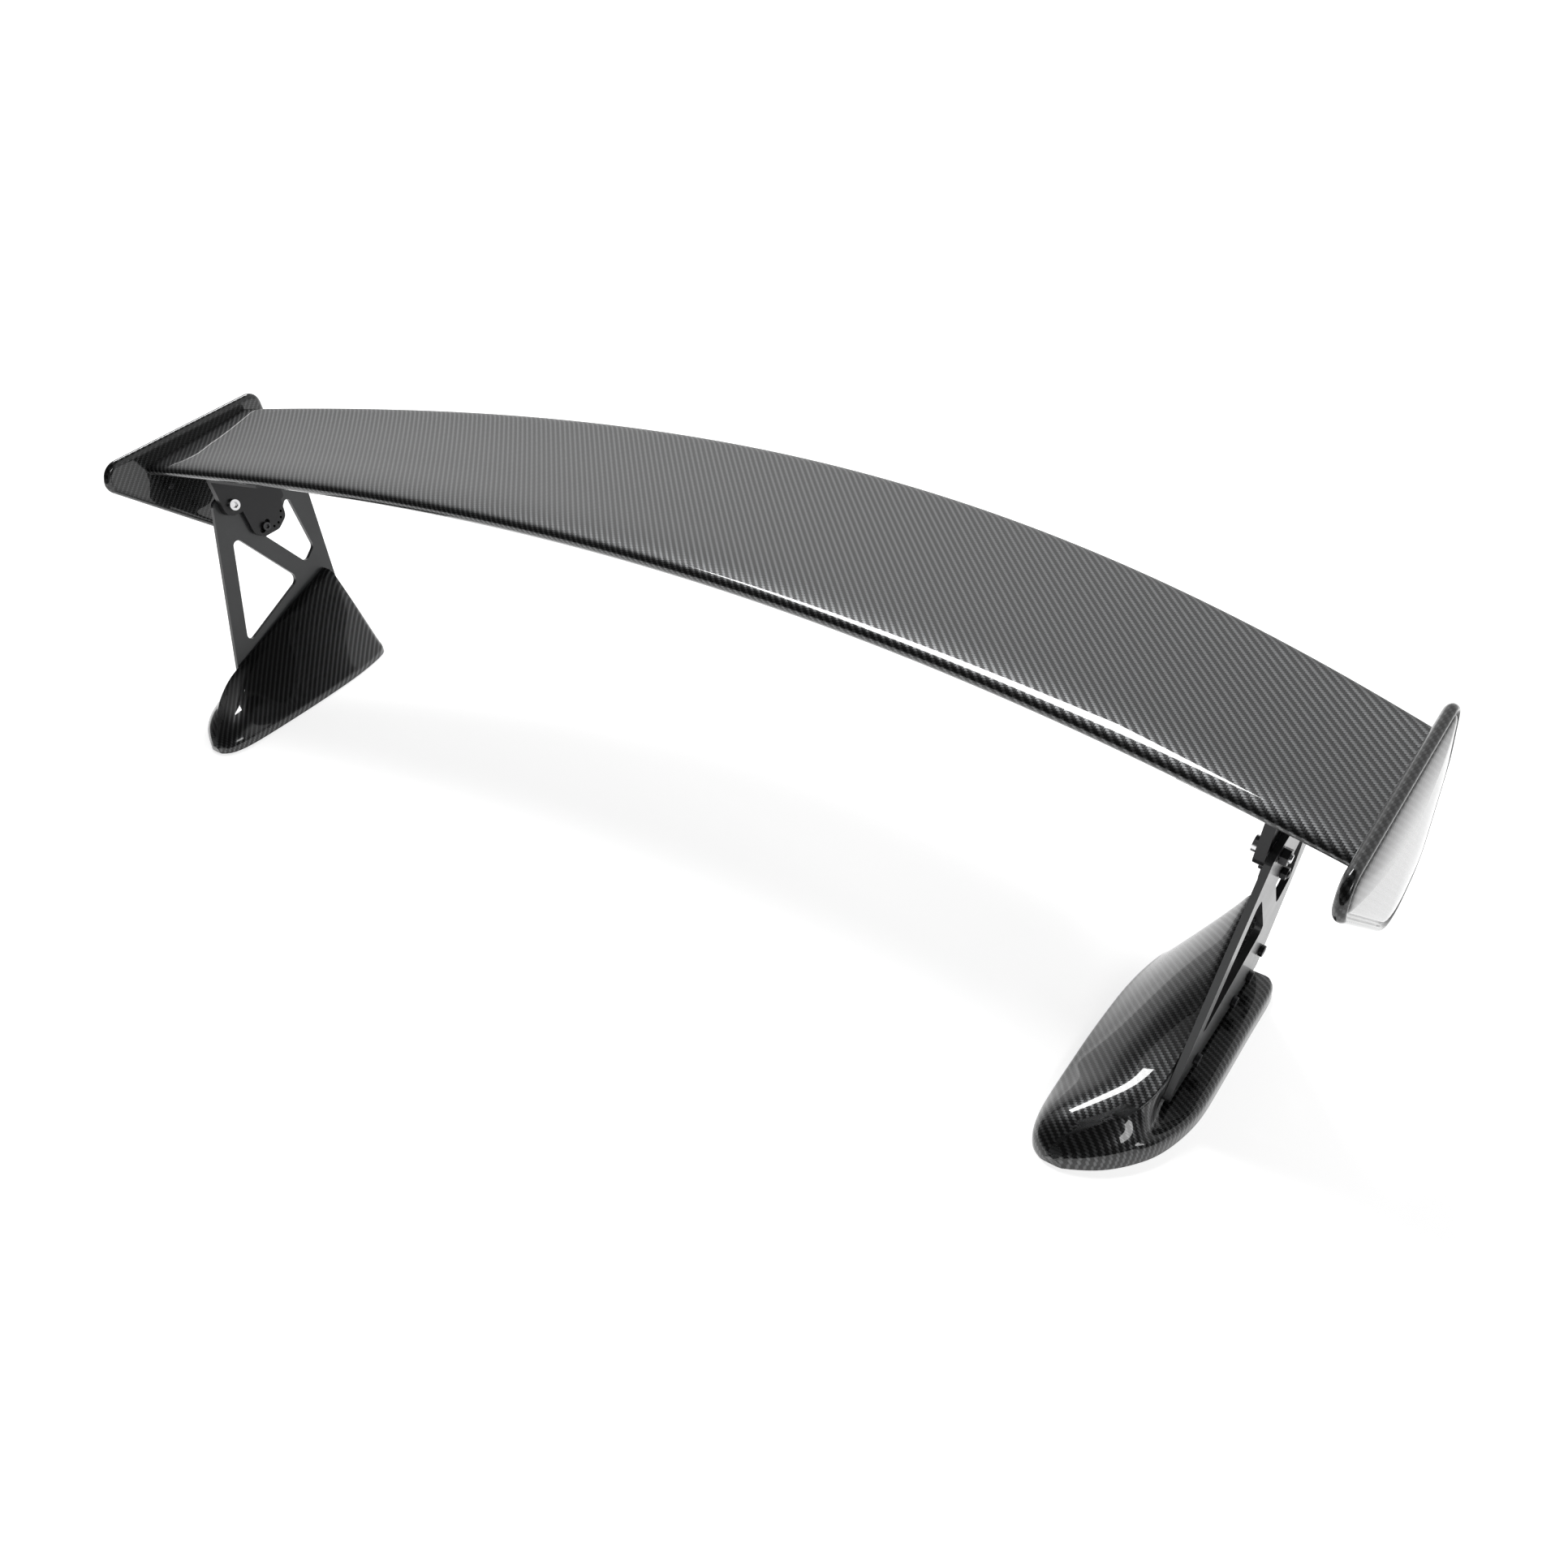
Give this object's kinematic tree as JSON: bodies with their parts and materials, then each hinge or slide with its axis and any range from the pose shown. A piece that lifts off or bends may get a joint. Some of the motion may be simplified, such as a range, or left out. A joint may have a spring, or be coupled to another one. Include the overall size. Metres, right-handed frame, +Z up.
{
  "type": "racing rear wing",
  "caption": "Rear wing for a racing car: hollow carbon blade with endplates, held by windowed uprights on deck pedestals, with slotted brackets that set its pitch.",
  "frame": {"origin": "middle of the plane that both pedestals stand on, centred across the span and along the chord", "axes": "+X along the span to the car's right-hand side as seen from behind the leading edge, +Y rearward from leading edge to trailing edge, +Z up"},
  "size_m": [1.5166, 0.486, 0.3206],
  "materials": {
    "blade_carbon": "clear-coated twill carbon-fibre laminate",
    "endplate_carbon": "clear-coated twill carbon-fibre laminate",
    "pedestal_carbon": "clear-coated twill carbon-fibre laminate",
    "base_plate": "black anodised",
    "inner_structure": "as machined",
    "upright_alloy": "black anodised, fine satin",
    "bracket_alloy": "black anodised, fine satin",
    "backing_steel": "zinc plated",
    "pivot_steel": "plain stainless",
    "spacer_alloy": "turned",
    "fastener_steel": "blackened"
  },
  "bodies": {
    "supports": {"upright_right": "upright_alloy", "upright_left": "upright_alloy", "pedestal_right": "pedestal_carbon", "pedestal_left": "pedestal_carbon", "pedestal_base_right": "base_plate", "pedestal_base_left": "base_plate", "backing_plate_right": "backing_steel", "backing_plate_left": "backing_steel", "wall_bolt_1_right": "fastener_steel", "wall_bolt_1_left": "fastener_steel", "wall_bolt_2_right": "fastener_steel", "wall_bolt_2_left": "fastener_steel", "wall_bolt_3_right": "fastener_steel", "wall_bolt_3_left": "fastener_steel", "wall_bolt_4_right": "fastener_steel", "wall_bolt_4_left": "fastener_steel", "pivot_bolt_right": "pivot_steel", "pivot_bolt_left": "pivot_steel", "pivot_nut_right": "fastener_steel", "pivot_nut_left": "fastener_steel", "pivot_spacer_right": "spacer_alloy", "pivot_spacer_left": "spacer_alloy", "adjust_bolt_right": "fastener_steel", "adjust_bolt_left": "fastener_steel", "adjust_nut_right": "fastener_steel", "adjust_nut_left": "fastener_steel"},
    "wing": {"blade_skin": "blade_carbon", "blade_spar": "inner_structure", "end_rib_right": "inner_structure", "end_rib_left": "inner_structure", "mount_block_right": "inner_structure", "mount_block_left": "inner_structure", "endplate_right": "endplate_carbon", "endplate_left": "endplate_carbon", "wing_bracket_right": "bracket_alloy", "wing_bracket_left": "bracket_alloy", "flange_screw_1_right": "fastener_steel", "flange_screw_1_left": "fastener_steel", "flange_screw_2_right": "fastener_steel", "flange_screw_2_left": "fastener_steel", "flange_screw_3_right": "fastener_steel", "flange_screw_3_left": "fastener_steel", "flange_screw_4_right": "fastener_steel", "flange_screw_4_left": "fastener_steel"}
  },
  "joints": [
    {"name": "wing_pitch", "type": "hinge", "parent": "supports", "child": "wing", "pos_m": [0, -0.0585, 0.2368], "axis": [1, 0, 0], "range_deg": [-6, 6]}
  ]
}
